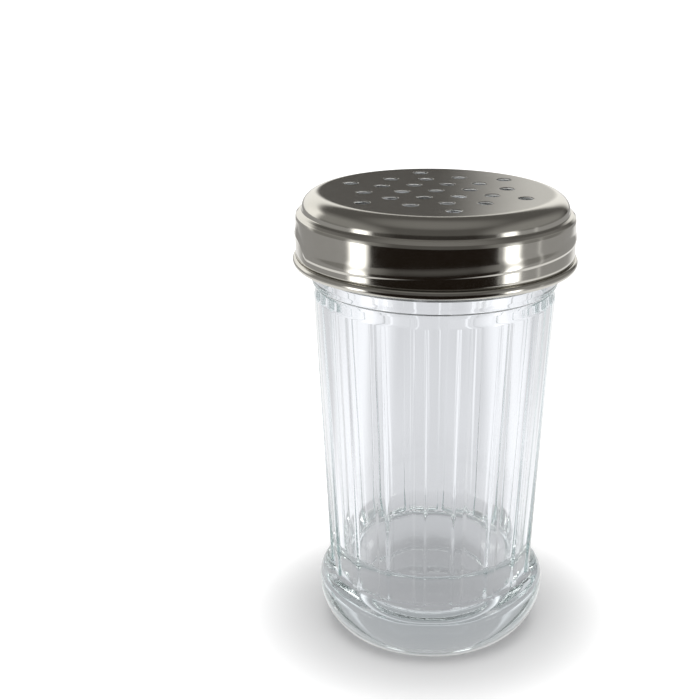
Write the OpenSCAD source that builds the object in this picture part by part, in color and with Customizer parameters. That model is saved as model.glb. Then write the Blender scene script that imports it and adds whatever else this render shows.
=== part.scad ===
// Parmesan shaker: a heavy fluted glass jar and a perforated screw lid
// pressed from one sheet of stainless steel.
// Millimetres, +Z up. The origin is on the axis, in the plane of the foot.

/* [Jar] */
// Height of the glass from foot to lip
jar_h = 137.8; // [110:0.1:170]
// Outside radius of the body at its top, under the groove
body_r = 36.1; // [30:0.1:44]
// How far the body narrows from its top down to its waist
body_narrow = 3.5; // [2:0.1:4.5]
// How far the base stands out from the waist
base_out = 3.5; // [2.5:0.1:4.5]
// How full the shoulder over the widest place is, 2 for a round one
shoulder_fullness = 2.3; // [1.8:0.1:3]
// How gently that shoulder runs into the waist, 0.5 for a sharp corner
shoulder_fall = 0.7; // [0.5:0.05:1]
// Height at which the base is widest
base_h = 14; // [11:0.1:17]
// How flat the flank under the widest place runs, 1 for a round one
heel_flatness = 1.6; // [1:0.1:2]
// Height from the widest place of the base up to the waist
waist_rise = 5.2; // [4:0.1:8]
// How far the foot lies inside the widest place of the base
heel_in = 6.6; // [5:0.1:9]
// Width of the flat ring that the jar stands on
foot_w = 7.5; // [5:0.1:10]
// Depth of the hollow under the base
foot_hollow_h = 1.2; // [0.6:0.1:2.5]
// Thickness of the body's wall, measured at a ridge
wall = 3.5; // [2.6:0.1:5]
// Thickness of the glass under the inside floor
floor_t = 13.7; // [10:0.1:17]
// Height over which the inside wall runs in like a cone, down to the floor
floor_rise = 15.3; // [12:0.1:18]
// How far that cone runs in from the wall
floor_in = 9.8; // [7:0.1:12]
// Rounding between the inside cone and the floor
floor_round = 8; // [4:0.5:12]

/* [Neck] */
// Height of the neck, from the groove under its ring up to the lip
neck_h = 25.5; // [21:0.1:30]
// Height over which the body rounds into the groove
body_round_h = 4.2; // [3:0.1:6]
// Depth of the groove, measured from the body
groove_in = 0.8; // [0.5:0.1:1.2]
// How far the plain ring stands out from the body
ring_out = 0.5; // [0.3:0.1:1]
// Height of the plain ring between the groove and the lid
ring_h = 4.3; // [3.4:0.1:5.2]
// How far the neck stands out from the body
neck_out = 1.7; // [1.3:0.1:2.2]
// Thickness of the neck's wall
neck_wall = 4.6; // [3.6:0.1:5.6]

/* [Flutes] */
// Number of flutes around the body
flute_count = 18; // [14:1:20]
// Depth of a flute at its middle
flute_depth = 0.9; // [0.7:0.05:1.2]
// Width left between two flutes, halfway up the body
flute_ridge_w = 2.5; // [1.5:0.1:3.5]
// Height from the waist to where a flute begins to round off downwards
flute_low_rise = 3.6; // [3.4:0.1:6]
// Height from where a flute begins to round off upwards to the body's top
flute_high_drop = 5.6; // [4:0.5:12]
// Angle of one ridge from +X
flute_turn = 4; // [0:1:20]

/* [Screw thread] */
// Rise of the lid in one turn
thread_lead = 10; // [8:0.1:12]
// Number of threads side by side
thread_starts = 2; // [1:1:2]
// Angle from +X at which the lid's thread starts
thread_turn = 237; // [0:1:359]
// Height from the plain ring to where the glass thread starts
thread_rise = 7.05; // [6:0.05:8.2]
// Height from the upper end of the glass thread to the lip
thread_to_lip = 6.5; // [5.4:0.1:8]
// How far the glass thread stands out of the neck
glass_thread_out = 1.6; // [1.3:0.05:1.9]
// Half the width of the glass thread at the neck
glass_thread_root = 1.1; // [0.8:0.05:1.3]
// Half the width of the glass thread at its crest
glass_thread_crest = 0.5; // [0.3:0.05:0.6]
// Half the width of the lid's thread at the skirt
lid_thread_root = 0.8; // [0.6:0.05:0.95]
// Half the width of the lid's thread at its crest
lid_thread_crest = 0.35; // [0.25:0.05:0.45]
// Angle that each of the lid's threads runs
lid_thread_angle = 138; // [60:1:160]

/* [Lid] */
// Thickness of the sheet
sheet = 0.45; // [0.35:0.05:0.55]
// Width of the rounded shoulder
shoulder_w = 6.3; // [5.5:0.1:7.5]
// Height of the rounded shoulder
shoulder_drop = 4.5; // [3.7:0.1:4.9]
// Width of the ledge between the shoulder and the skirt
ledge_w = 1.9; // [1.5:0.1:2.2]
// Height of the hollow rounding between shoulder and ledge
ledge_fillet_h = 1; // [0.8:0.1:1.2]
// Height by which the ledge slopes
ledge_slope_h = 0.7; // [0.5:0.1:0.9]
// Height of the rounding between ledge and skirt
ledge_corner_h = 1; // [0.8:0.1:1.2]
// How far the pressed thread swells the skirt outwards
swell_out = 0.4; // [0.3:0.05:0.6]
// Height over which the pressed thread fades into the skirt
swell_h = 2.6; // [1.5:0.1:3.2]
// Width of the crease under the pressed thread
crease_w = 0.4; // [0.3:0.05:0.6]
// Height from the seam to the middle of the lid's thread where it starts
seam_to_thread = 1.1; // [0.9:0.05:1.4]
// Diameter of a pouring hole
hole_d = 4.6; // [3:0.1:5.6]
// Holes in each ring around the middle one
holes_in_ring = 6; // [4:1:6]
// Angle of the innermost ring's first hole from +X
hole_turn = 10.6; // [0:0.1:60]

/* [Curled rim] */
// How far the rim stands out from the skirt
rim_out = 1.05; // [0.85:0.05:1.3]
// Width of the rim's section
rim_w = 1.85; // [1.5:0.05:2]
// Height of the rim's section
rim_t = 2.4; // [1.9:0.05:2.5]
// Height from the seam down to the underside of the rim
rim_drop = 2.55; // [2.5:0.05:3]

/* [Clearances] */
// Height of the lid's top over the lip
lid_over_lip = 1.6; // [1.4:0.1:2.2]
// Clear space between the neck and the inside of the skirt
skirt_clear = 2.75; // [2.3:0.05:3.3]
// Clear space between the neck and the lid's thread
thread_clear = 0.9; // [0.7:0.05:1.1]
// How far the lid's thread stands below the glass thread it pulls on
thread_step = 1.5; // [1.4:0.05:1.8]

/* [Hidden] */
$fn = 96;

// Radii of the four rings of holes, as shares of the flat top's radius
hole_ring_shares = [0.305, 0.518, 0.643, 0.823];
// Places on the lid's ledge between shoulder and skirt, as shares of its width
ledge_in_share = 0.42;
ledge_out_share = 0.79;
// Rounding of the lip, inside and outside, as a share of the neck's wall
lip_round_share = 0.478;
// Height of the neck ring's lower rounding, as a share of its height
ring_round_share = 0.25;
// Height of the body's upper rounding, as a share of the way to the groove
body_round_share = 0.55;
// Radius of the body at that rounding, as a share of the way back from the groove
body_round_r_share = 0.8;
// Height of the slope from ring to neck, as a share of the ring's height
neck_slope_share = 0.2;
// How deep a thread is sunk into its wall, as a share of its own height
thread_sink_share = 0.6;
// How deep the lid's thread is sunk into the sheet, as a share of its thickness
sheet_sink_share = 0.6;
// Angle of the flute's wedge, as a share of the angle that the flute itself takes
flute_wedge_share = 1.12;
// Height of the flute's rounded lower end, as a share of a circle's
flute_low_share = 0.4;
// Angles over which the flute's ends round off
flute_low_round = 54;
flute_high_round = 24;
// Longest piece of thread made in one go, and the part of it that is left open, as angles
thread_piece = 72;
thread_break = 3;

// Radii and heights of the jar, from the body outwards and upwards
waist_r = body_r - body_narrow;
waist_h = base_h + waist_rise;
base_r = waist_r + base_out;
foot_r = base_r - heel_in;
foot_hollow_r = foot_r - foot_w;
groove_r = body_r - groove_in;
groove_h = jar_h - neck_h;
body_h = groove_h - body_round_h;
ring_r = body_r + ring_out;
ring_top_h = groove_h + ring_h;
neck_r = body_r + neck_out;
bore_r = neck_r - neck_wall;
lip_round = neck_wall * lip_round_share;

// Flutes
body_taper = atan(body_narrow / (body_h - waist_h));
body_mid_r = (body_r + waist_r) / 2;
flute_half_w = (2 * PI * body_mid_r / flute_count - flute_ridge_w) / 2;
flute_hollow = flute_depth - body_mid_r + sqrt(pow(body_mid_r, 2) - pow(flute_half_w, 2));
flute_r = (pow(flute_half_w, 2) + pow(flute_hollow, 2)) / (2 * flute_hollow);
flute_half_angle = asin(flute_half_w / flute_r) * flute_wedge_share;
flute_low_h = waist_h + flute_low_rise;
flute_len = (body_h - flute_high_drop - flute_low_h) / cos(body_taper);
flute_low_r = waist_r + flute_low_rise * tan(body_taper);

// Threads
glass_thread_h = ring_top_h + thread_rise;
glass_thread_angle = 360 * (jar_h - thread_to_lip - glass_thread_h) / thread_lead;
glass_crest_r = neck_r + glass_thread_out;
glass_sunk_root = glass_thread_root + (glass_thread_root - glass_thread_crest) * thread_sink_share;
lid_thread_h = glass_thread_h - thread_step;
lid_crest_r = neck_r + thread_clear;

// Lid, from the neck outwards and from the lip upwards
skirt_in_r = neck_r + skirt_clear;
skirt_r = skirt_in_r + sheet;
shoulder_r = skirt_r - ledge_w;
deck_r = shoulder_r - shoulder_w;
swell_r = skirt_r + swell_out;
lid_h = jar_h + lid_over_lip;
ledge_in_h = lid_h - shoulder_drop - ledge_fillet_h;
ledge_out_h = ledge_in_h - ledge_slope_h;
skirt_top_h = ledge_out_h - ledge_corner_h;
seam_h = lid_thread_h - seam_to_thread;

// Curled rim
rim_r = skirt_r + rim_out;
rim_mid_r = rim_r - rim_w / 2;
rim_mid_h = seam_h - rim_drop + rim_t / 2;

// Points along part of an ellipse, from angle a0 to a1
function arc(cx, cz, rx, rz, a0, a1, steps) =
    [for (i = [0:steps]) let (a = a0 + (a1 - a0) * i / steps) [cx + rx * cos(a), cz + rz * sin(a)]];

// Points of the rounded shoulder between the widest place of the base and the waist
function shoulder(steps) =
    [for (i = [1:steps - 1]) let (s = i / steps)
        [waist_r + base_out * pow(1 - pow(s, shoulder_fullness), shoulder_fall), base_h + waist_rise * s]];

// Points of the flank that rises from the foot to where the base is widest
function heel(steps) =
    [for (i = [0:steps]) let (a = 90 * i / steps)
        [foot_r + (base_r - foot_r) * pow(sin(a), heel_flatness), base_h * (1 - cos(a))]];

function reversed(path) = [for (i = [len(path) - 1:-1:0]) path[i]];

// Direction square to one edge of a path, towards its right-hand side
function side(path, i) =
    let (d = path[i + 1] - path[i]) [d.y, -d.x] / norm(d);

// The same path moved sideways by the thickness of a sheet
function inside(path, t) =
    [for (i = [0:len(path) - 1])
        let (
            a = side(path, max(i - 1, 0)),
            b = side(path, min(i, len(path) - 2))
        ) path[i] + (a + b) * t / (1 + a * b)];

// Half section of the outside of the glass, from the foot up to the lip
jar_outside = concat(
    heel(10),
    shoulder(8),
    [
        [waist_r, waist_h],
        [body_r, body_h],
        [
            groove_r + (body_r - groove_r) * body_round_r_share,
            body_h + (groove_h - body_h) * body_round_share
        ],
        [groove_r, groove_h],
        [ring_r, groove_h + ring_h * ring_round_share],
        [ring_r, ring_top_h],
        [neck_r, ring_top_h + ring_h * neck_slope_share]
    ],
    arc(neck_r - lip_round, jar_h - lip_round, lip_round, lip_round, 0, 90, 5)
);

// Half section of the inside of the glass, from the lip down to the floor
body_in_r = body_r - wall;
cone_h = floor_t + floor_rise;
cone_r = waist_r - wall + (cone_h - waist_h) * tan(body_taper);
cone_slope = atan(floor_rise / floor_in);
floor_mid_r = cone_r - floor_in - floor_round * tan(cone_slope / 2);
jar_inside = concat(
    arc(bore_r + lip_round, jar_h - lip_round, lip_round, lip_round, 90, 180, 5),
    [[bore_r, groove_h], [body_in_r, body_h]],
    [[cone_r, cone_h]],
    arc(floor_mid_r, floor_t + floor_round, floor_round, floor_round, cone_slope - 90, -90, 6),
    [[0, floor_t], [0, foot_hollow_h], [foot_hollow_r - foot_hollow_h, foot_hollow_h], [foot_hollow_r, 0]]
);

// One long round-ended wedge whose curved back scoops a flute out of the body
module flute_bar() {
    rotate([0, 0, 180 - flute_half_angle])
        rotate_extrude(angle = 2 * flute_half_angle)
        polygon(concat(
            arc(0, 0, flute_r, flute_r * flute_low_share, -flute_low_round, 0, 6),
            arc(0, flute_len, flute_r, flute_r, 0, flute_high_round, 3),
            [
                [0, flute_len + flute_r * sin(flute_high_round)],
                [0, -flute_r * flute_low_share * sin(flute_low_round)]
            ]
        ));
}

// Ridges along a right-hand helix, in pieces that are each a tilted ring segment
module thread_ridges(section, middle_r, low_h, run) {
    pieces = ceil(run / thread_piece);
    step = run / pieces;
    for (start = [0:thread_starts - 1], i = [0:pieces - 1]) {
        along = step * (i + 0.5);
        translate([0, 0, low_h + thread_lead * along / 360])
            rotate([0, 0, thread_turn + along + 360 * start / thread_starts])
            rotate([atan(thread_lead / (2 * PI * middle_r)), 0, 0])
            rotate([0, 0, -(step - thread_break) / 2])
            rotate_extrude(angle = step - thread_break)
            polygon(section);
    }
}

module jar() {
    color([0.78, 0.86, 0.85, 0.55])
        union() {
            difference() {
                rotate_extrude()
                    polygon(concat(jar_outside, jar_inside));
                for (i = [0:flute_count - 1])
                    rotate([0, 0, flute_turn + (i + 0.5) * 360 / flute_count])
                        translate([flute_low_r - flute_depth + flute_r, 0, flute_low_h])
                        rotate([0, body_taper, 0])
                        flute_bar();
            }
            thread_ridges(
                [
                    [neck_r - glass_thread_out * thread_sink_share, -glass_sunk_root],
                    [glass_crest_r, -glass_thread_crest],
                    [glass_crest_r, glass_thread_crest],
                    [neck_r - glass_thread_out * thread_sink_share, glass_sunk_root]
                ],
                neck_r,
                glass_thread_h,
                glass_thread_angle
            );
        }
}

// The curled edge of the lid: a plain ring with a flat top that meets the skirt
module lid_rim() {
    color([0.72, 0.73, 0.74])
        rotate_extrude()
            polygon(concat(
                [[skirt_in_r, seam_h], [skirt_r, seam_h]],
                arc(rim_mid_r, rim_mid_h, rim_w / 2, rim_t / 2, 90, -235, 26)
            ));
}

// Half section of the outside of the lid, from the axis out and down to the seam
lid_outside = concat(
    [[0, lid_h]],
    arc(deck_r, lid_h - shoulder_drop, shoulder_r - deck_r, shoulder_drop, 90, 0, 8),
    [
        [shoulder_r + ledge_w * ledge_in_share, ledge_in_h],
        [shoulder_r + ledge_w * ledge_out_share, ledge_out_h],
        [skirt_r, skirt_top_h],
        [skirt_r, seam_h]
    ]
);

module lid() {
    color([0.68, 0.69, 0.7])
        difference() {
            union() {
                rotate_extrude()
                    polygon(concat(lid_outside, reversed(inside(lid_outside, sheet))));
                // thread that reaches in under the glass thread
                thread_ridges(
                    [
                        [lid_crest_r, -lid_thread_crest],
                        [skirt_in_r + sheet * sheet_sink_share, -lid_thread_root],
                        [skirt_in_r + sheet * sheet_sink_share, lid_thread_root],
                        [lid_crest_r, lid_thread_crest]
                    ],
                    skirt_in_r,
                    lid_thread_h,
                    lid_thread_angle
                );
                // swelling outside, where the sheet goes round the glass thread
                thread_ridges(
                    [
                        [skirt_r - sheet * sheet_sink_share, lid_thread_crest],
                        [skirt_r + swell_out / 2, lid_thread_crest],
                        [swell_r, lid_thread_crest + crease_w],
                        [skirt_r - sheet * sheet_sink_share, lid_thread_crest + crease_w + swell_h]
                    ],
                    skirt_r,
                    lid_thread_h,
                    lid_thread_angle
                );
            }
            // pouring holes: one in the middle and four staggered rings
            lid_hole(0, 0);
            for (k = [0:len(hole_ring_shares) - 1], i = [0:holes_in_ring - 1])
                lid_hole(deck_r * hole_ring_shares[k], hole_turn + (i + (k % 2) / 2) * 360 / holes_in_ring);
        }
}

// One hole through the flat top
module lid_hole(from_axis, angle) {
    rotate([0, 0, angle])
        translate([from_axis, 0, lid_h - 2 * sheet])
        cylinder(d = hole_d, h = 3 * sheet);
}

jar();
lid_rim();
lid();
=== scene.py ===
"""Glass cheese shaker: a fluted pressed-glass jar with a perforated screw lid of polished sheet."""

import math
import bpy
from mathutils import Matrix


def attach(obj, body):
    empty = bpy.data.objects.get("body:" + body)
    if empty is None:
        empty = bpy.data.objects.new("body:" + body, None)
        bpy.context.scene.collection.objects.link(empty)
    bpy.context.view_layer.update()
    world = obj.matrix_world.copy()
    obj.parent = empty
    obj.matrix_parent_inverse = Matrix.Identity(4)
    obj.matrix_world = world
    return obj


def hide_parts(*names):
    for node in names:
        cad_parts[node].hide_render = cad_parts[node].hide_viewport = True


bl_info = {
    "name": "Glass Cheese Shaker",
    "version": (1, 0, 0),
    "blender": (4, 5, 0),
    "location": "View3D > Sidebar > Shaker",
    "description": "Builds a fluted glass cheese shaker with a pressed and perforated screw lid",
    "category": "Add Mesh",
}

import bmesh
import bpy
from bpy.props import FloatProperty, FloatVectorProperty, IntProperty, PointerProperty
from mathutils import Matrix, Vector
from mathutils.geometry import delaunay_2d_cdt

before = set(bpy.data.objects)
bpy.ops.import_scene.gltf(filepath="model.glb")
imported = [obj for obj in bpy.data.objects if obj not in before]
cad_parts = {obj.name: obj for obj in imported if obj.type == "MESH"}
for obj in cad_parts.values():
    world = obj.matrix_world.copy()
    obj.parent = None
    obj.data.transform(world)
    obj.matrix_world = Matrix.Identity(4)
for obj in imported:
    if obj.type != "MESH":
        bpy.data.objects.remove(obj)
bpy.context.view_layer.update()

MM = 0.001
TURN = 2 * math.pi

FOOT_ROWS = 24
SHOULDER_ROWS = 36
WAIST_ROWS = 12
FLUTE_COLUMNS = 28
LID_COLUMNS = 360
HOLE_COLUMNS = 40
THREAD_STEPS = 70
RIDGE_CROWDING = 0.7
LIP_ROUND_SHARE = 0.478
GLASS_BOUNCES = 64


def length(name, description, millimetres):
    """A size that a user may change, kept in metres."""
    return FloatProperty(
        name=name,
        description=description,
        default=millimetres * MM,
        unit="LENGTH",
        precision=5,
    )


def angle(name, description, degrees):
    """An angle that a user may change."""
    return FloatProperty(
        name=name,
        description=description,
        default=math.radians(degrees),
        subtype="ANGLE",
    )


def share(name, description, default, low=0.0, high=1.0):
    """A plain number between two limits."""
    return FloatProperty(
        name=name, description=description, default=default, min=low, max=high
    )


def colour(name, description, default):
    """A colour that a user may change."""
    return FloatVectorProperty(
        name=name,
        description=description,
        default=default,
        size=3,
        subtype="COLOR",
        min=0.0,
        max=1.0,
    )


class ShakerJarSizes(bpy.types.PropertyGroup):
    """Sizes of the glass jar"""

    lip_height: length("Lip height", "Height of the glass from foot to lip", 137.8)
    hollow_radius: length("Foot hollow", "Radius of the hollow under the base", 22.0)
    hollow_height: length("Hollow height", "Depth of the hollow under the base", 1.2)
    foot_radius: length("Foot radius", "Outer radius of the flat foot ring", 29.5)
    base_radius: length("Base radius", "Radius where the base is widest", 36.1)
    base_height: length("Base height", "Height where the base is widest", 14.0)
    heel_flatness: share("Heel flatness", "How flat the flank under the base runs", 1.6, 1, 2)
    shoulder_rise: length("Base shoulder", "Rise of the base's shoulder over its widest place", 5.3)
    shoulder_reach: length("Shoulder reach", "How far the shoulder runs in under a ridge", 1.3)
    shoulder_fullness: share("Shoulder fullness", "How boxy the base's shoulder is", 2.3, 1, 4)
    shoulder_blend: length("Shoulder blend", "Rounding between shoulder and side", 0.9)
    waist_radius: length("Waist radius", "Radius of the waist above the base", 32.5)
    waist_height: length("Waist height", "Height of the waist", 22.0)
    body_radius: length("Body radius", "Radius at the top of the straight side", 36.1)
    body_height: length("Body height", "Height where the straight side ends", 109.0)
    groove_radius: length("Groove radius", "Radius of the groove under the ring", 35.3)
    groove_height: length("Groove height", "Height of the groove under the ring", 112.3)
    ring_radius: length("Ring radius", "Radius of the plain ring under the lid", 36.6)
    ring_top: length("Ring top", "Height of the upper edge of the plain ring", 116.6)
    neck_radius: length("Neck radius", "Radius of the neck between its threads", 37.8)
    bore_radius: length("Bore radius", "Radius of the bore through the neck", 33.2)
    wall: length("Wall", "Thickness of the wall at a ridge", 3.5)
    floor_height: length("Floor height", "Height of the inside floor", 13.7)
    floor_radius: length("Floor radius", "Radius where the inside cone would meet the floor", 19.5)
    floor_round: length("Floor rounding", "Rounding between the inside cone and the floor", 8.0)
    cone_height: length("Cone height", "Height where the inside wall starts to run in", 29.0)
    flutes: IntProperty(name="Flutes", description="Number of flutes", default=18, min=8, max=30)
    flute_depth: length("Flute depth", "Depth of a flute at its middle", 1.1)
    ridge_width: length("Ridge width", "Width left between two flutes", 2.5)
    flute_high: length("Flute high end", "Height where a flute ends above", 108.5)
    flute_arch: length("Flute arch", "Height of a flute's arched upper end", 4.5)
    flute_side: length("Flute side", "Width of the steep side of a flute", 0.9)
    flute_turn: angle("Flute turn", "Angle of one ridge from +X", 4.0)
    thread_height: length("Thread height", "Height where the glass thread starts", 123.65)
    thread_end: length("Thread end", "Height where the glass thread ends", 131.3)
    thread_out: length("Thread depth", "How far the glass thread stands out", 1.6)
    thread_half: length("Thread half width", "Half the width of the glass thread", 1.15)


class ShakerLidSizes(bpy.types.PropertyGroup):
    """Sizes of the pressed lid"""

    top_height: length("Top height", "Height of the flat top above the foot", 139.4)
    sheet: length("Sheet", "Thickness of the sheet", 0.45)
    deck_radius: length("Flat top radius", "Radius of the flat top", 32.8)
    shoulder_radius: length("Shoulder radius", "Radius where the shoulder ends", 39.1)
    shoulder_drop: length("Shoulder height", "Height of the rounded shoulder", 4.5)
    ledge_inner_height: length("Ledge inner height", "Height of the ledge at the shoulder", 133.9)
    ledge_outer_height: length("Ledge outer height", "Height of the ledge at the skirt", 133.2)
    skirt_top: length("Skirt top", "Height of the skirt's upper edge", 132.2)
    skirt_radius: length("Skirt radius", "Outer radius of the skirt", 41.0)
    swell: length("Swell", "How far the pressed thread swells the skirt", 0.42)
    swell_height: length("Swell height", "Height over which the swelling fades", 3.8)
    band_out: length("Band", "How far the band under the crease stands out", 0.15)
    crease_height: length("Crease height", "Height of the crease where the thread starts", 122.9)
    seam_height: length("Seam height", "Height of the seam above the curled rim", 121.05)
    thread_start: angle("Thread start", "Angle from +X where the thread starts", 237.0)
    thread_run: angle("Thread run", "Angle that each thread runs", 138.0)
    lead: length("Lead", "Rise of the lid in one turn", 10.0)
    thread_crest: length("Thread crest", "Inner radius of the lid's thread", 38.7)
    hole_diameter: length("Hole diameter", "Diameter of a pouring hole", 4.6)
    hole_round: length("Hole rounding", "Rounding of a pouring hole's edge", 0.10)
    hole_turn: angle("Hole turn", "Angle of the innermost ring's first hole", 10.6)
    ring_1: length("Hole ring 1", "Radius of the innermost ring of holes", 10.0)
    ring_2: length("Hole ring 2", "Radius of the second ring of holes", 17.0)
    ring_3: length("Hole ring 3", "Radius of the third ring of holes", 21.1)
    ring_4: length("Hole ring 4", "Radius of the outermost ring of holes", 27.0)


class ShakerRimSizes(bpy.types.PropertyGroup):
    """Sizes of the curled rim"""

    radius: length("Rim radius", "Largest radius of the rim", 42.05)
    width: length("Rim width", "Width of the rim's section", 1.85)
    height: length("Rim height", "Height of the rim's section", 2.4)
    underside: length("Underside", "Height of the underside of the rim", 118.5)


class ShakerGlassFinish(bpy.types.PropertyGroup):
    """Finish of the pressed glass"""

    tint: colour("Tint", "Colour that the glass gives to what is seen through it", (0.985, 0.99, 0.99))
    depth: colour("Depth colour", "Colour that thick glass takes on", (0.80, 0.91, 0.90))
    density: FloatProperty(name="Density", description="How fast thick glass darkens", default=5.5)
    roughness: share("Roughness", "Fine roughness of the glass", 0.006)
    ripple: share("Ripple", "Strength of the ripples left by the mould", 0.10)


class ShakerSteelFinish(bpy.types.PropertyGroup):
    """Finish of the polished sheet"""

    tint: colour("Colour", "Colour of the polished sheet", (0.66, 0.645, 0.605))
    roughness: share("Roughness", "Roughness between the polishing marks", 0.11)
    waviness: share("Waviness", "Strength of the pressed sheet's waves", 0.16)


class ShakerStage(bpy.types.PropertyGroup):
    """Camera, light and floor"""

    focal: FloatProperty(name="Focal length", description="Lens in millimetres", default=62.56)
    distance: length("Camera distance", "Distance of the camera in front of the axis", 351.78)
    height: length("Camera height", "Height of the camera above the floor", 212.12)
    pitch: angle("Camera pitch", "How far the camera looks down", 22.05)
    roll: angle("Camera roll", "How far the camera is rolled", 0.85)
    shift_x: share("Shift X", "Sideways shift of the frame", -0.11857, -1, 1)
    shift_y: share("Shift Y", "Upward shift of the frame", 0.09, -1, 1)
    floor_colour: colour("Floor", "Colour of the floor", (0.9, 0.9, 0.9))
    floor_lift: share("Floor lift", "How much the floor glows by itself", 0.1, 0, 2)
    # darkest colour of the painted reflections in the floor and the room
    painted_dark_reflection: colour("Dark side", "Tone of the dark side of the room", (0.012, 0.008, 0.005))
    # painted shade: paper seen through glass is shown in this darker tone than to the camera
    painted_tone_behind_glass: colour("Behind glass", "Tone of the paper seen through glass", (0.73, 0.735, 0.765))


GROUPS = {
    "shaker_jar": ShakerJarSizes,
    "shaker_lid": ShakerLidSizes,
    "shaker_rim": ShakerRimSizes,
    "shaker_glass": ShakerGlassFinish,
    "shaker_steel": ShakerSteelFinish,
    "shaker_stage": ShakerStage,
}


def blend_in(low, high, value):
    """0 below low, 1 above high and a smooth way between them."""
    t = min(max((value - low) / (high - low), 0.0), 1.0)
    return t * t * (3 - 2 * t)


def soft_minimum(a, b, softness):
    """The smaller of two numbers, with the corner between them rounded."""
    h = min(max(0.5 + 0.5 * (b - a) / softness, 0.0), 1.0)
    return b + (a - b) * h - softness * h * (1 - h)


def ellipse(centre_r, centre_z, radius_r, radius_z, start, end, steps):
    """Points along part of an ellipse in the (radius, height) plane, angles in degrees."""
    points = []
    for i in range(steps + 1):
        a = math.radians(start + (end - start) * i / steps)
        points.append((centre_r + radius_r * math.cos(a), centre_z + radius_z * math.sin(a)))
    return points


def filleted(corners, steps=6):
    """A path through (radius, height, rounding) corners, each rounded by its own radius."""
    path = [corners[0][:2]]
    for before, corner, after in zip(corners, corners[1:], corners[2:]):
        p = Vector(corner[:2])
        a = (Vector(before[:2]) - p).normalized()
        b = (Vector(after[:2]) - p).normalized()
        half = math.acos(min(max(a.dot(b), -1.0), 1.0)) / 2
        if corner[2] == 0 or half > math.radians(89.5):
            path.append(tuple(p))
            continue
        reach = corner[2] / math.tan(half)
        start = p + a * reach
        end = p + b * reach
        for i in range(steps + 1):
            t = i / steps
            path.append(tuple(start * (1 - t) ** 2 + p * 2 * t * (1 - t) + end * t**2))
    path.append(corners[-1][:2])
    return path


def finely(path, step):
    """The same path with points added so that no two are further apart than step."""
    fine = [path[0]]
    for a, b in zip(path, path[1:]):
        parts = max(1, math.ceil(math.dist(a, b) / step))
        for i in range(1, parts + 1):
            fine.append((a[0] + (b[0] - a[0]) * i / parts, a[1] + (b[1] - a[1]) * i / parts))
    return fine


def ring_of(mesh, columns, place):
    """One closed row of vertices, placed by a function of the angle."""
    return [mesh.verts.new(place(TURN * k / columns)) for k in range(columns)]


def polar(radius, turn, height):
    """A point at a distance from the axis, an angle round it and a height."""
    return Vector((radius * math.cos(turn), radius * math.sin(turn), height))


def round_rows(mesh, section):
    """A round row of the lid for each (radius, height) of a half section."""
    return [ring_of(mesh, LID_COLUMNS, lambda turn: polar(r, turn, z)) for r, z in section]


def skin(mesh, rows, finish=0):
    """Quads between each row of vertices and the next."""
    for low, high in zip(rows, rows[1:]):
        count = len(low)
        for k in range(count):
            after = (k + 1) % count
            face = mesh.faces.new((low[k], low[after], high[after], high[k]))
            face.material_index = finish


def fan(mesh, row, centre):
    """Triangles from a row of vertices to one in its middle."""
    for k in range(len(row)):
        mesh.faces.new((row[k], row[(k + 1) % len(row)], centre))


def finished_object(name, mesh, materials, body, node):
    """Turns a bmesh into a smooth object that rides on a body and stands for a CAD node."""
    bmesh.ops.recalc_face_normals(mesh, faces=mesh.faces)
    data = bpy.data.meshes.new(name)
    mesh.to_mesh(data)
    mesh.free()
    data.shade_smooth()
    for material in materials:
        data.materials.append(material)
    piece = bpy.data.objects.new(name, data)
    bpy.context.scene.collection.objects.link(piece)
    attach(piece, body)
    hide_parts(node)
    return piece


def node_of(tree, kind, place, **inputs):
    """A shader node with its inputs set by name."""
    node = tree.nodes.new(kind)
    node.location = place
    for name, value in inputs.items():
        node.inputs[name].default_value = value
    return node


def pressed_glass(finish):
    """Clear pressed glass with a faint green tint, soft ripples and a fire-polished skin."""
    material = bpy.data.materials.new("pressed_glass")
    material.use_nodes = True
    tree = material.node_tree
    shader = tree.nodes["Principled BSDF"]
    shader.inputs["Base Color"].default_value = (*finish.tint, 1)
    shader.inputs["Transmission Weight"].default_value = 1.0
    shader.inputs["IOR"].default_value = 1.51
    shader.inputs["Specular IOR Level"].default_value = 0.5
    place = node_of(tree, "ShaderNodeTexCoord", (-1100, 0))
    ripple = node_of(tree, "ShaderNodeTexNoise", (-700, -200), Scale=95.0, Detail=2.0, Roughness=0.45)
    stretch = node_of(tree, "ShaderNodeMapping", (-900, -200), Scale=(1.0, 1.0, 0.35))
    bump = node_of(tree, "ShaderNodeBump", (-300, -300), Strength=finish.ripple, Distance=0.0004)
    haze = node_of(tree, "ShaderNodeTexNoise", (-700, 200), Scale=220.0, Detail=3.0)
    ramp = node_of(tree, "ShaderNodeValToRGB", (-450, 200))
    ramp.color_ramp.elements[0].position = 0.45
    ramp.color_ramp.elements[0].color = (finish.roughness,) * 3 + (1,)
    ramp.color_ramp.elements[1].position = 0.8
    ramp.color_ramp.elements[1].color = (finish.roughness * 3,) * 3 + (1,)
    link = tree.links.new
    link(place.outputs["Object"], stretch.inputs["Vector"])
    link(stretch.outputs["Vector"], ripple.inputs["Vector"])
    link(ripple.outputs["Fac"], bump.inputs["Height"])
    link(bump.outputs["Normal"], shader.inputs["Normal"])
    link(place.outputs["Object"], haze.inputs["Vector"])
    link(haze.outputs["Fac"], ramp.inputs["Fac"])
    link(ramp.outputs["Color"], shader.inputs["Roughness"])
    depth = node_of(tree, "ShaderNodeVolumeAbsorption", (50, -350), Density=finish.density)
    depth.inputs["Color"].default_value = (*finish.depth, 1)
    link(depth.outputs["Volume"], tree.nodes["Material Output"].inputs["Volume"])
    return material


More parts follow.
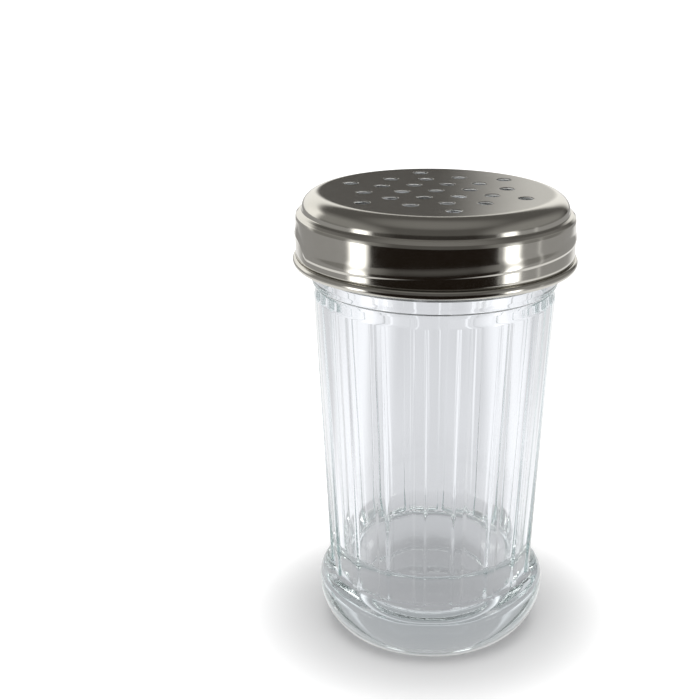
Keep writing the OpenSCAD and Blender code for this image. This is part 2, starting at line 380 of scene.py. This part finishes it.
def polished_steel(finish):
    """Bright pressed stainless sheet with long soft waves and fine polishing haze."""
    material = bpy.data.materials.new("polished_steel")
    material.use_nodes = True
    tree = material.node_tree
    shader = tree.nodes["Principled BSDF"]
    shader.inputs["Metallic"].default_value = 1.0
    place = node_of(tree, "ShaderNodeTexCoord", (-1100, 0))
    waves = node_of(tree, "ShaderNodeTexNoise", (-700, -250), Scale=60.0, Detail=1.0)
    bump = node_of(tree, "ShaderNodeBump", (-300, -300), Strength=finish.waviness, Distance=0.0003)
    haze = node_of(tree, "ShaderNodeTexNoise", (-700, 250), Scale=300.0, Detail=4.0, Roughness=0.6)
    shine = node_of(tree, "ShaderNodeValToRGB", (-450, 350))
    shine.color_ramp.elements[0].color = (finish.roughness * 0.7,) * 3 + (1,)
    shine.color_ramp.elements[1].color = (finish.roughness * 1.5,) * 3 + (1,)
    tone = node_of(tree, "ShaderNodeValToRGB", (-450, 100))
    tone.color_ramp.elements[0].color = tuple(c * 0.94 for c in finish.tint) + (1,)
    tone.color_ramp.elements[1].color = (*finish.tint, 1)
    link = tree.links.new
    link(place.outputs["Object"], waves.inputs["Vector"])
    link(place.outputs["Object"], haze.inputs["Vector"])
    link(waves.outputs["Fac"], bump.inputs["Height"])
    link(bump.outputs["Normal"], shader.inputs["Normal"])
    link(haze.outputs["Fac"], shine.inputs["Fac"])
    link(shine.outputs["Color"], shader.inputs["Roughness"])
    link(haze.outputs["Fac"], tone.inputs["Fac"])
    link(tone.outputs["Color"], shader.inputs["Base Color"])
    return material


def dull_shaded_inside():
    """The unpolished inner face of the sheet, softly mottled, in a darker grey that is painted shade
    for the inside of the lid.
    """
    material = bpy.data.materials.new("dull_shaded_steel")
    material.use_nodes = True
    tree = material.node_tree
    shader = tree.nodes["Principled BSDF"]
    shader.inputs["Metallic"].default_value = 1.0
    place = node_of(tree, "ShaderNodeTexCoord", (-900, 0))
    grain = node_of(tree, "ShaderNodeTexNoise", (-700, 0), Scale=450.0, Detail=4.0)
    # painted shade: a darker grey than the polished outside
    tone = node_of(tree, "ShaderNodeValToRGB", (-450, 100))
    tone.color_ramp.elements[0].color = (0.30, 0.30, 0.29, 1)
    tone.color_ramp.elements[1].color = (0.42, 0.42, 0.41, 1)
    shine = node_of(tree, "ShaderNodeValToRGB", (-450, -150))
    shine.color_ramp.elements[0].color = (0.35, 0.35, 0.35, 1)
    shine.color_ramp.elements[1].color = (0.50, 0.50, 0.50, 1)
    link = tree.links.new
    link(place.outputs["Object"], grain.inputs["Vector"])
    link(grain.outputs["Fac"], tone.inputs["Fac"])
    link(grain.outputs["Fac"], shine.inputs["Fac"])
    link(tone.outputs["Color"], shader.inputs["Base Color"])
    link(shine.outputs["Color"], shader.inputs["Roughness"])
    return material


def steel_material():
    """The lid and its curled rim share one finish."""
    known = bpy.data.materials.get("polished_steel")
    return known or polished_steel(bpy.context.scene.shaker_steel)


def jar_outline(s):
    """Half section of the glass: under the foot, up the outside and down the inside to its floor."""
    bottom = []
    for i in range(1, FOOT_ROWS + 1):
        r = s.hollow_radius * i / FOOT_ROWS
        arch = 1 - blend_in(0.2 * s.hollow_radius, s.hollow_radius, r)
        bottom.append((r, s.hollow_height * arch))
    bottom.append((s.foot_radius - 0.4 * MM, 0))
    heel = []
    for i in range(1, FOOT_ROWS + 1):
        a = math.radians(90 * i / FOOT_ROWS)
        out = (s.base_radius - s.foot_radius) * math.sin(a) ** s.heel_flatness
        heel.append((s.foot_radius + out, s.base_height * (1 - math.cos(a))))
    slope = (s.body_radius - s.waist_radius) / (s.body_height - s.waist_height)
    flare = []
    for i in range(1, SHOULDER_ROWS + 1):
        height = s.base_height + s.shoulder_rise * (1 - (1 - i / SHOULDER_ROWS) ** 2)
        flare.append((shoulder_radius(s, height), height))
    top = flare[-1][1]
    for i in range(1, WAIST_ROWS + 1):
        flare.append((s.waist_radius, top + (s.waist_height - top) * i / WAIST_ROWS))
    neck = filleted(
        [
            flare[-1] + (0,),
            (s.body_radius, s.body_height, 3.0 * MM),
            (s.groove_radius + 0.15 * MM, s.groove_height - 0.9 * MM, 0.5 * MM),
            (s.groove_radius, s.groove_height, 0.35 * MM),
            (s.ring_radius, s.groove_height + 0.8 * MM, 0.6 * MM),
            (s.ring_radius + 0.05 * MM, s.ring_top, 0.5 * MM),
            (s.neck_radius, s.ring_top + 0.9 * MM, 0.5 * MM),
            (s.neck_radius, s.lip_height - 2.2 * MM, 0),
        ]
    )[1:]
    round_r = (s.neck_radius - s.bore_radius) * LIP_ROUND_SHARE
    lip = ellipse(
        s.neck_radius - round_r, s.lip_height - round_r, round_r, round_r, 0, 90, 8
    ) + ellipse(s.bore_radius + round_r, s.lip_height - round_r, round_r, round_r, 90, 180, 8)
    inside_r = s.waist_radius - s.wall + (s.cone_height - s.waist_height) * slope
    inner = filleted(
        [
            lip[-1] + (0,),
            (s.bore_radius, s.groove_height + 1.5 * MM, 4.0 * MM),
            (s.body_radius - s.wall, s.body_height - 1.0 * MM, 4.0 * MM),
            (inside_r, s.cone_height, 2.5 * MM),
            (s.floor_radius, s.floor_height, s.floor_round),
            (1.0 * MM, s.floor_height, 0),
        ],
        9,
    )[1:]
    outside = finely(bottom + heel + flare, 1.2 * MM) + fine_side(neck)
    return outside, lip + finely(inner, 2.0 * MM)


def shoulder_radius(s, height):
    """Radius of the heavy base's rounded shoulder, on which the ridges and flutes stand."""
    t = min((height - s.base_height) / s.shoulder_rise, 1.0)
    inner = s.waist_radius - s.shoulder_reach
    return inner + (s.base_radius - inner) * math.sqrt(1 - t**s.shoulder_fullness)


def fine_side(neck):
    """The side and neck in rows close enough to carry the flutes' ends and the thread."""
    rows = []
    for a, b in zip(neck, neck[1:]):
        rows += finely([a, b], 0.5 * MM)[:-1]
    return rows + [neck[-1]]


class FluteCut:
    """The pressed flutes: slightly hollow panels with steep sides and arched upper ends."""

    def __init__(self, s):
        self.s = s
        self.middle = (s.body_radius + s.waist_radius) / 2
        self.half = (TURN * self.middle / s.flutes - s.ridge_width) / 2

    def side(self, radius, height, turn):
        """Radius of the glass at one place: the fluted side, or the base's shoulder under it."""
        s = self.s
        fluted = min(radius, s.waist_radius) if height < s.waist_height else radius
        fluted -= self.depth(height, turn)
        return -soft_minimum(-fluted, -shoulder_radius(s, height), s.shoulder_blend)

    def depth(self, height, turn):
        """How far a flute lies under the round body."""
        s = self.s
        pitch = TURN / s.flutes
        off = (turn - s.flute_turn) % pitch - pitch / 2
        across = self.middle * off / self.half
        over = max(height - s.flute_high + s.flute_arch, 0.0) / s.flute_arch
        edge = (1 - math.hypot(across, over)) * self.half
        hollow = 0.6 + 0.4 * (1 - min(abs(across), 1.0) ** 2)
        return s.flute_depth * hollow * blend_in(0, s.flute_side, edge)


def flute_turns(s):
    """Angles of the jar's columns of vertices, closer together at the ridges."""
    turns = []
    for flute in range(s.flutes):
        for k in range(FLUTE_COLUMNS):
            at = k / FLUTE_COLUMNS
            at -= RIDGE_CROWDING * math.sin(TURN * at) / TURN
            turns.append(s.flute_turn + TURN * (flute + at) / s.flutes)
    return turns


def thread_bulge(s, lead, start, height, turn):
    """How far the two-start glass thread stands out at one place on the neck."""
    bulge = 0.0
    for first in (start, start + math.pi):
        ahead = (turn - first) % TURN
        for lap in (-1, 0, 1):
            run = ahead + lap * TURN
            middle = s.thread_height + lead * run / TURN
            if middle < s.thread_height or middle > s.thread_end:
                continue
            off = abs(height - middle) / s.thread_half
            ends = min(middle - s.thread_height, s.thread_end - middle)
            fade = blend_in(0, 0.35 * MM, ends)
            bulge = max(bulge, s.thread_out * fade * (1 - blend_in(0.3, 1.15, off)))
    return bulge


class SHAKER_OT_jar(bpy.types.Operator):
    """Build the fluted glass jar as one closed surface with its thread, lip and thick floor"""

    bl_idname = "shaker.jar"
    bl_label = "Glass jar"

    def execute(self, context):
        s = context.scene.shaker_jar
        lid = context.scene.shaker_lid
        turns = flute_turns(s)
        flute = FluteCut(s)
        outside, inside = jar_outline(s)
        mesh = bmesh.new()
        rows = []
        for radius, height in outside:
            fluted = s.base_height < height < s.groove_height - 0.5 * MM
            threaded = height > s.ring_top + 1.5 * MM
            row = []
            for turn in turns:
                r = radius
                if fluted:
                    r = flute.side(r, height, turn)
                if threaded:
                    r += thread_bulge(s, lid.lead, lid.thread_start, height, turn)
                row.append(mesh.verts.new(polar(r, turn, height)))
            rows.append(row)
        for radius, height in inside:
            rows.append([mesh.verts.new(polar(radius, t, height)) for t in turns])
        skin(mesh, rows)
        fan(mesh, rows[0], mesh.verts.new((0, 0, s.hollow_height)))
        fan(mesh, rows[-1], mesh.verts.new((0, 0, s.floor_height)))
        glass = pressed_glass(context.scene.shaker_glass)
        finished_object("fluted_glass_jar", mesh, [glass], "jar", "jar")
        return {"FINISHED"}


def lid_shoulder(s):
    """Half section of the lid outside, from the edge of its flat top to the top of its skirt."""
    shoulder = ellipse(
        s.deck_radius,
        s.top_height - s.shoulder_drop,
        s.shoulder_radius - s.deck_radius,
        s.shoulder_drop,
        90,
        4,
        20,
    )
    width = s.skirt_radius - s.shoulder_radius
    ledge = filleted(
        [
            shoulder[-1] + (0,),
            (s.shoulder_radius + 0.03 * width, s.ledge_inner_height + 0.35 * MM, 0.35 * MM),
            (s.shoulder_radius + 0.5 * width, s.ledge_inner_height - 0.1 * MM, 0.3 * MM),
            (s.skirt_radius - 0.1 * width, s.ledge_outer_height - 0.1 * MM, 0.5 * MM),
            (s.skirt_radius, s.skirt_top, 0.6 * MM),
            (s.skirt_radius, s.skirt_top - 2.5 * MM, 0),
        ]
    )
    return shoulder + ledge[1:]


class SkirtPress:
    """The pressed thread on the skirt: a helical crease with a swelling above it."""

    RUN_OUT = math.radians(14)

    def __init__(self, s):
        self.s = s

    def phase(self, turn):
        """Angle from the start of the thread that runs there."""
        return (turn - self.s.thread_start) % math.pi

    def rise(self, turn):
        """Height of the crease over its own start."""
        s = self.s
        along = self.phase(turn)
        full = s.lead * s.thread_run / TURN
        if along < s.thread_run:
            return s.lead * along / TURN
        back = blend_in(s.thread_run, s.thread_run + self.RUN_OUT, along)
        return full * (1 - back)

    def strength(self, turn):
        """1 along the crease, 0 where one thread ends and the next takes over."""
        half = self.RUN_OUT / 2
        return blend_in(math.radians(2), half, abs(self.phase(turn) - self.s.thread_run - half))

    def radius(self, above, turn):
        """Radius of the skirt at a height above the crease."""
        s = self.s
        a = self.strength(turn)
        if above >= 0:
            step = blend_in(0, 0.8 * MM, above)
            fade = 1 - blend_in(0.8 * MM, s.swell_height, above)
            out = a * (s.band_out * (1 - step) + s.swell * step * fade) + (1 - a) * s.band_out * fade
            return s.skirt_radius + out
        return s.skirt_radius + s.band_out


def inner_path(path, thickness):
    """The same half section moved inwards by the thickness of the sheet."""
    moved = []
    for i, point in enumerate(path):
        before = Vector(path[max(i - 1, 0)])
        after = Vector(path[min(i + 1, len(path) - 1)])
        along = (after - before).normalized()
        moved.append((point[0] + along[1] * thickness, point[1] - along[0] * thickness))
    return moved


def hole_places(s):
    """Centres of the pouring holes: one in the middle and four staggered rings of six."""
    places = [(0.0, 0.0)]
    for k, radius in enumerate((s.ring_1, s.ring_2, s.ring_3, s.ring_4)):
        for i in range(6):
            turn = s.hole_turn + TURN * (i + 0.5 * (k % 2)) / 6
            places.append((radius * math.cos(turn), radius * math.sin(turn)))
    return places


def pierced_deck(mesh, outer, rings, finish):
    """Fills the flat between the outer row and the rows round the holes."""
    points = [v.co.to_2d() for v in outer]
    loops = [list(range(len(outer)))]
    verts = list(outer)
    for ring in rings:
        loops.append(list(range(len(points), len(points) + len(ring))))
        points += [v.co.to_2d() for v in ring]
        verts += ring
    edges = [(loop[i], loop[(i + 1) % len(loop)]) for loop in loops for i in range(len(loop))]
    result = delaunay_2d_cdt(points, edges, [], 0, 1e-7)
    centres = [sum((v.co.to_2d() for v in ring), Vector((0, 0))) / len(ring) for ring in rings]
    reach = [(rings[i][0].co.to_2d() - c).length for i, c in enumerate(centres)]
    for face in result[2]:
        middle = sum((result[0][i] for i in face), Vector((0, 0))) / 3
        if any((middle - c).length < r for c, r in zip(centres, reach)):
            continue
        flat = mesh.faces.new([verts[result[3][i][0]] for i in face])
        flat.material_index = finish


class SHAKER_OT_lid(bpy.types.Operator):
    """Build the pressed lid with its punched holes, ledge, skirt and pressed thread"""

    bl_idname = "shaker.lid"
    bl_label = "Perforated lid"

    def execute(self, context):
        s = context.scene.shaker_lid
        mesh = bmesh.new()
        upper = lid_shoulder(s)
        lower = inner_path(upper, s.sheet)
        outer_rows = round_rows(mesh, upper)
        inner_rows = round_rows(mesh, lower)
        skirt_rows, lining_rows = self.skirt(mesh, s, upper[-1][1])
        edge = [(s.skirt_radius - 0.12 * MM, s.seam_height), (s.skirt_radius - s.sheet, s.seam_height)]
        outer_edge, inner_edge = round_rows(mesh, edge)
        skin(mesh, outer_rows + skirt_rows + [outer_edge, inner_edge])
        skin(mesh, [inner_edge] + lining_rows[::-1] + inner_rows[::-1], 1)
        self.punch(mesh, s, outer_rows[0], inner_rows[0])
        self.inner_thread(mesh, s)
        finished_object("perforated_lid", mesh, [steel_material(), dull_shaded_inside()], "lid", "lid")
        return {"FINISHED"}

    def skirt(self, mesh, s, top):
        """Rows of the skirt that follow the crease, outside and inside."""
        press = SkirtPress(s)
        above = [1.5, 1.3, 1.1, 0.95, 0.8, 0.65, 0.5, 0.38, 0.25, 0.12, 0.0]
        below = [-0.05, -0.2, -0.4]
        outside = []
        inside = []

        def add_row(place, at):
            for rows, inward in ((outside, 0), (inside, s.sheet)):
                rows.append(ring_of(mesh, LID_COLUMNS, lambda turn: place(at, turn, inward)))

        def creased(offset, turn, inward):
            height = s.crease_height + press.rise(turn) + offset
            return polar(press.radius(offset, turn) - inward, turn, height)

        def straight(share_down, turn, inward):
            low = s.crease_height + press.rise(turn) + below[-1] * MM
            floor = s.seam_height + 0.14 * MM
            height = low + (floor - low) * share_down
            return polar(s.skirt_radius + s.band_out - inward, turn, height)

        def fading(share_up, turn, inward):
            low = s.crease_height + press.rise(turn) + above[0] * MM
            height = low + (top - 0.3 * MM - low) * share_up
            offset = above[0] * MM + height - low
            return polar(press.radius(offset, turn) - inward, turn, height)

        for part in (1.0, 0.85, 0.7, 0.55, 0.4, 0.28, 0.18, 0.09):
            add_row(fading, part)
        for offset in above + below:
            add_row(creased, offset * MM)
        for part in (0.33, 0.66, 1.0):
            add_row(straight, part)
        return outside, inside

    def punch(self, mesh, s, outer, inner):
        """The flat top and its underside, joined by the walls of the holes."""
        radius = s.hole_diameter / 2
        over = [(radius + s.hole_round * 2.2, 0), (radius + s.hole_round * 1.5, 0)]
        over += [
            (
                radius + s.hole_round * (1 - math.sin(math.radians(a))),
                s.hole_round * (math.cos(math.radians(a)) - 1),
            )
            for a in (0, 22, 45, 68, 90)
        ]
        under = [
            (radius, -s.sheet + 0.04 * MM),
            (radius + 0.04 * MM, -s.sheet),
            (radius + s.hole_round * 2.2, -s.sheet),
        ]
        tops = []
        bottoms = []
        for x, y in hole_places(s):
            rows = []
            for r, drop in over + under:
                place = Vector((x, y, s.top_height + drop))
                rows.append(ring_of(mesh, HOLE_COLUMNS, lambda turn: place + polar(r, turn, 0)))
            skin(mesh, rows)
            tops.append(rows[0])
            bottoms.append(rows[-1])
        pierced_deck(mesh, outer, tops, 0)
        pierced_deck(mesh, inner, bottoms, 1)

    def inner_thread(self, mesh, s):
        """Rounded ridges inside the skirt that reach under the glass thread."""
        root = s.skirt_radius - s.sheet + 0.2 * MM
        lower_half = [(0, -0.85), (0.35, -0.7), (0.8, -0.45), (1, -0.15)]
        section = lower_half + [(out, -up) for out, up in reversed(lower_half)]
        for start in (s.thread_start, s.thread_start + math.pi):
            rows = []
            for i in range(THREAD_STEPS + 1):
                part = i / THREAD_STEPS
                turn = start + s.thread_run * part
                fade = blend_in(0, 0.06, part) * blend_in(0, 0.06, 1 - part)
                height = s.crease_height - 0.75 * MM + s.lead * s.thread_run * part / TURN
                deep = (root - s.thread_crest) * max(fade, 0.1)
                rows.append([
                    mesh.verts.new(polar(root - deep * out, turn, height + up * MM * max(fade, 0.2)))
                    for out, up in section
                ])
            skin(mesh, rows, 1)
            for end in (rows[0], rows[-1]):
                mesh.faces.new(end).material_index = 1


class SHAKER_OT_rim(bpy.types.Operator):
    """Build the curled edge under the lid's skirt"""

    bl_idname = "shaker.rim"
    bl_label = "Curled rim"

    def execute(self, context):
        s = context.scene.shaker_rim
        lid = context.scene.shaker_lid
        middle_r = s.radius - s.width / 2
        middle_z = s.underside + s.height / 2
        collar_in = lid.skirt_radius - lid.sheet
        collar_out = lid.skirt_radius - 0.2 * MM
        curl = ellipse(middle_r, middle_z, s.width / 2, s.height / 2, 100, -235, 30)
        section = [(collar_in, lid.seam_height), (collar_out, lid.seam_height)]
        section += [(collar_out, middle_z + s.height * 0.42)] + curl
        mesh = bmesh.new()
        rows = round_rows(mesh, section)
        skin(mesh, rows + [rows[0]])
        finished_object("curled_rim", mesh, [steel_material()], "lid_rim", "lid_rim")
        return {"FINISHED"}


def smooth(tree, value, low, high, before=0.0, after=1.0):
    """A value that changes smoothly from one number to another."""
    node = node_of(
        tree,
        "ShaderNodeMapRange",
        (0, 0),
        **{"From Min": low, "From Max": high, "To Min": before, "To Max": after},
    )
    node.interpolation_type = "SMOOTHSTEP"
    tree.links.new(value, node.inputs["Value"])
    return node.outputs["Result"]


def reckon(tree, operation, *values):
    """A sum, product or other result of values or numbers."""
    node = tree.nodes.new("ShaderNodeMath")
    node.operation = operation
    for socket, value in zip(node.inputs, values):
        if isinstance(value, (int, float)):
            socket.default_value = value
        else:
            tree.links.new(value, socket)
    return node.outputs[0]


def product(tree, first, *others):
    """All the values multiplied together."""
    for other in others:
        first = reckon(tree, "MULTIPLY", first, other)
    return first


def along(tree, vector, axis):
    """How far a direction points along an axis."""
    node = tree.nodes.new("ShaderNodeVectorMath")
    node.operation = "DOT_PRODUCT"
    tree.links.new(vector, node.inputs[0])
    node.inputs[1].default_value = Vector(axis).normalized()
    return node.outputs["Value"]


def tinted(tree, value, low, high):
    """A colour between two others, chosen by a value."""
    node = tree.nodes.new("ShaderNodeMix")
    node.data_type = "RGBA"
    node.clamp_factor = False
    node.inputs[6].default_value = (*low, 1)
    node.inputs[7].default_value = (*high, 1)
    tree.links.new(value, node.inputs[0])
    return node.outputs[2]


def by_ray(tree, plain, glossy, transmitted):
    """One shader for most rays, another for reflections and a third for what glass lets through."""
    rays = node_of(tree, "ShaderNodeLightPath", (-700, 300))
    shader = plain
    for ray, other in (("Is Glossy Ray", glossy), ("Is Transmission Ray", transmitted)):
        mix = tree.nodes.new("ShaderNodeMixShader")
        tree.links.new(rays.outputs[ray], mix.inputs[0])
        tree.links.new(shader, mix.inputs[1])
        tree.links.new(other, mix.inputs[2])
        shader = mix.outputs[0]
    return shader


def glow(tree, kind, colour_from):
    """A light source of one strength whose colour comes from a node."""
    node = tree.nodes.new(kind)
    node.inputs["Strength"].default_value = 1.0
    tree.links.new(colour_from, node.inputs["Color"])
    return node.outputs[0]


def floor_material(s):
    """Pale matt paper: plain to the camera, showing metal a painted reflection of a table round it and
    glass a painted shadow and light.
    """
    material = bpy.data.materials.new("pale_floor")
    material.use_nodes = True
    tree = material.node_tree
    shader = tree.nodes["Principled BSDF"]
    shader.inputs["Base Color"].default_value = (*s.floor_colour, 1)
    shader.inputs["Roughness"].default_value = 0.9
    shader.inputs["Specular IOR Level"].default_value = 0.1
    shader.inputs["Emission Color"].default_value = (1, 1, 1, 1)
    place = node_of(tree, "ShaderNodeTexCoord", (-1100, 0)).outputs["Object"]
    aside = reckon(tree, "ABSOLUTE", along(tree, place, (1, 0, 0)))
    back = along(tree, place, (0, 1, 0))
    distance = tree.nodes.new("ShaderNodeVectorMath")
    distance.operation = "LENGTH"
    tree.links.new(place, distance.inputs[0])
    away = distance.outputs["Value"]
    # the paper glows by itself, with the glow weaker close to the shaker: a painted darkening round
    # the foot, added to its real shadow
    lift = smooth(tree, away, 0.035, 0.085, s.floor_lift, 0.75)
    tree.links.new(lift, shader.inputs["Emission Strength"])
    # painted reflection: metal sees a painted dark patch in front of the shaker, pale paper beside and
    # behind it, dimmer far to the sides
    front = smooth(tree, reckon(tree, "MULTIPLY_ADD", aside, 0.4, back), -0.09, -0.015)
    sides = smooth(tree, aside, 0.24, 0.38, 1.0, 0.38)
    painted_reflection = tinted(tree, product(tree, front, sides), s.painted_dark_reflection, (0.95, 0.94, 0.92))
    # seen through glass: painted shadow under the foot, painted shade far in front, and painted light
    # close beside it
    under = smooth(tree, away, 0.03, 0.065, 0.56, 1.0)
    ahead = smooth(tree, back, -0.30, -0.12, 0.75, 1.0)
    painted_bright_sides = smooth(tree, aside, 0.02, 0.055, 0.0, 0.42)
    painted_bright_sides = product(tree, painted_bright_sides, smooth(tree, aside, 0.08, 0.18, 1.0, -0.3))
    level = product(tree, under, ahead, reckon(tree, "ADD", painted_bright_sides, 1.0))
    through = tinted(tree, level, (0, 0, 0), s.painted_tone_behind_glass)
    result = by_ray(
        tree,
        shader.outputs[0],
        glow(tree, "ShaderNodeEmission", painted_reflection),
        glow(tree, "ShaderNodeEmission", through),
    )
    tree.links.new(result, tree.nodes["Material Output"].inputs["Surface"])
    return material


def soft_box(name, place, aim, size, radiance):
    """A square lamp that lights the paper, and that neither the camera nor gloss shows."""
    light = bpy.data.lights.new(name, "AREA")
    light.shape = "SQUARE"
    light.size = size
    light.energy = radiance * math.pi * size * size
    lamp = bpy.data.objects.new(name, light)
    lamp.location = place
    lamp.rotation_euler = (Vector(aim) - Vector(place)).to_track_quat("-Z", "Y").to_euler()
    lamp.visible_camera = False
    lamp.visible_glossy = False
    bpy.context.scene.collection.objects.link(lamp)


def glow_card(name, place, width, radiance):
    """A tall card that glows softly, seen only in polished metal and through or on glass."""
    height = 0.24
    material = bpy.data.materials.new(name)
    material.use_nodes = True
    tree = material.node_tree
    tree.nodes.remove(tree.nodes["Principled BSDF"])
    spot = node_of(tree, "ShaderNodeTexCoord", (-900, 0)).outputs["Object"]
    aside = reckon(tree, "ABSOLUTE", along(tree, spot, (1, 0, 0)))
    edge = smooth(tree, aside, width * 0.1, width * 0.5, 1.0, 0.0)
    upper = smooth(tree, along(tree, spot, (0, 0, 1)), 0.09, 0.2, 1.0, 0.0)
    lamp = node_of(tree, "ShaderNodeEmission", (0, 0), Color=(1, 0.99, 0.96, 1), Strength=radiance)
    clear = tree.nodes.new("ShaderNodeBsdfTransparent")
    mix = tree.nodes.new("ShaderNodeMixShader")
    tree.links.new(product(tree, edge, upper), mix.inputs[0])
    tree.links.new(clear.outputs[0], mix.inputs[1])
    tree.links.new(lamp.outputs[0], mix.inputs[2])
    tree.links.new(mix.outputs[0], tree.nodes["Material Output"].inputs["Surface"])
    data = bpy.data.meshes.new(name)
    side = width / 2
    data.from_pydata(
        [(-side, 0, 0), (side, 0, 0), (side, 0, height), (-side, 0, height)], [], [(0, 1, 2, 3)]
    )
    data.materials.append(material)
    card = bpy.data.objects.new(name, data)
    card.location = (*place, 0)
    card.rotation_euler.z = math.atan2(-place[0], place[1])
    card.visible_camera = False
    card.visible_diffuse = False
    card.visible_shadow = False
    bpy.context.scene.collection.objects.link(card)


class SHAKER_OT_stage(bpy.types.Operator):
    """Set up the camera, the pale floor and the soft light"""

    bl_idname = "shaker.stage"
    bl_label = "Stage"

    def execute(self, context):
        s = context.scene.shaker_stage
        self.camera(context, s)
        self.floor(s)
        self.room(context, s)
        self.lamps()
        context.scene.view_settings.view_transform = "Standard"
        paths = context.scene.cycles
        paths.max_bounces = GLASS_BOUNCES
        paths.glossy_bounces = GLASS_BOUNCES
        paths.transmission_bounces = GLASS_BOUNCES
        return {"FINISHED"}

    def camera(self, context, s):
        data = bpy.data.cameras.new("camera")
        data.lens = s.focal
        data.sensor_width = 36.0
        data.shift_x = s.shift_x
        data.shift_y = s.shift_y
        camera = bpy.data.objects.new("camera", data)
        tilt = Matrix.Rotation(math.radians(90) - s.pitch, 4, "X")
        roll = Matrix.Rotation(s.roll, 4, "Z")
        camera.matrix_world = Matrix.Translation((0, -s.distance, s.height)) @ tilt @ roll
        context.scene.collection.objects.link(camera)
        context.scene.camera = camera

    def floor(self, s):
        mesh = bmesh.new()
        bmesh.ops.create_circle(mesh, cap_ends=True, segments=96, radius=4.0)
        data = bpy.data.meshes.new("floor")
        mesh.to_mesh(data)
        mesh.free()
        data.materials.append(floor_material(s))
        floor = bpy.data.objects.new("floor", data)
        floor.location.z = -0.1 * MM
        bpy.context.scene.collection.objects.link(floor)

    def room(self, context, s):
        """A soft grey room, white to the camera: polished sheet sees a painted reflection of a room
        with a dark side, and glass sees painted shade.
        """
        world = bpy.data.worlds.new("soft_room")
        world.use_nodes = True
        tree = world.node_tree
        tree.nodes.clear()
        place = node_of(tree, "ShaderNodeTexCoord", (-1100, 0)).outputs["Generated"]
        aside = along(tree, place, (1, 0, 0))
        back = along(tree, place, (0, 1, 0))
        up = along(tree, place, (0, 0, 1))
        # painted reflection seen only in gloss: a dim room that is lighter overhead and to both sides
        low = smooth(tree, up, 0.0, 0.22, 0.03, 0.105)
        top = smooth(tree, up, 0.75, 1.0, 0.0, 0.12)
        painted_bright_sides = smooth(tree, reckon(tree, "ABSOLUTE", aside), 0.5, 0.85, 0.0, 0.19)
        room = reckon(tree, "ADD", reckon(tree, "ADD", low, top), painted_bright_sides)
        # painted reflection of a pale backdrop behind, open in the middle where the flat top mirrors
        # the dim room
        gap = smooth(tree, along(tree, place, (0, 0.978, 0.208)), 0.976, 0.991, 1.0, 0.0)
        sweep = smooth(tree, along(tree, place, (-0.3, 0.95, 0)), 0.62, 0.78)
        sweep = product(tree, sweep, smooth(tree, up, 0.38, 0.52, 1.0, 0.0), gap)
        beyond = reckon(tree, "ADD", smooth(tree, aside, 0.0, 0.09, 0.0, 0.58), room)
        patch = product(tree, reckon(tree, "SUBTRACT", 1.0, gap), beyond)
        level = reckon(tree, "ADD", reckon(tree, "MAXIMUM", room, patch), sweep)
        painted_reflection = tinted(tree, level, s.painted_dark_reflection, (1.0, 0.985, 0.94))
        # painted shade seen through glass: a pale room, darker in front and higher up
        painted_glass_shade = smooth(tree, back, -0.5, -0.1, 0.7, 1.0)
        painted_glass_shade = product(tree, painted_glass_shade, smooth(tree, up, -0.05, 0.3, 1.0, 0.58))
        through = tinted(tree, painted_glass_shade, (0, 0, 0), s.painted_tone_behind_glass)
        rays = node_of(tree, "ShaderNodeLightPath", (-700, 300))
        seen = tree.nodes.new("ShaderNodeMixRGB")
        seen.inputs[1].default_value = (0.5, 0.5, 0.5, 1)
        seen.inputs[2].default_value = (1, 1, 1, 1)
        tree.links.new(rays.outputs["Is Camera Ray"], seen.inputs[0])
        result = by_ray(
            tree,
            glow(tree, "ShaderNodeBackground", seen.outputs[0]),
            glow(tree, "ShaderNodeBackground", painted_reflection),
            glow(tree, "ShaderNodeBackground", through),
        )
        out = node_of(tree, "ShaderNodeOutputWorld", (250, 0))
        tree.links.new(result, out.inputs["Surface"])
        context.scene.world = world

    def lamps(self):
        """One soft lamp overhead for the floor, and tall strips beside the shaker for its gloss."""
        soft_box("overhead", (0, -0.1, 0.9), (0, 0, 0.1), 0.7, 2.4)
        glow_card("left_strip", (-0.29, -0.166), 0.135, 3.2)
        glow_card("right_strip", (0.29, -0.168), 0.118, 3.2)
        glow_card("right_slit", (0.262, -0.225), 0.022, 0.4)
        glow_card("far_strip", (0.36, -0.02), 0.03, 0.7)


class SHAKER_PT_panel(bpy.types.Panel):
    """Lists the pieces of the shaker in the sidebar"""

    bl_label = "Cheese shaker"
    bl_space_type = "VIEW_3D"
    bl_region_type = "UI"
    bl_category = "Shaker"

    def draw(self, context):
        for operator in PIECES:
            self.layout.operator(operator.bl_idname)


PIECES = (SHAKER_OT_jar, SHAKER_OT_rim, SHAKER_OT_lid, SHAKER_OT_stage)


def register():
    for group in GROUPS.values():
        bpy.utils.register_class(group)
    for operator in PIECES:
        bpy.utils.register_class(operator)
    bpy.utils.register_class(SHAKER_PT_panel)
    for name, group in GROUPS.items():
        setattr(bpy.types.Scene, name, PointerProperty(type=group))


def unregister():
    for name in GROUPS:
        delattr(bpy.types.Scene, name)
    bpy.utils.unregister_class(SHAKER_PT_panel)
    for operator in reversed(PIECES):
        bpy.utils.unregister_class(operator)
    for group in reversed(list(GROUPS.values())):
        bpy.utils.unregister_class(group)


def main():
    register()
    bpy.ops.shaker.stage()
    bpy.ops.shaker.jar()
    bpy.ops.shaker.rim()
    bpy.ops.shaker.lid()


if __name__ == "__main__":
    main()
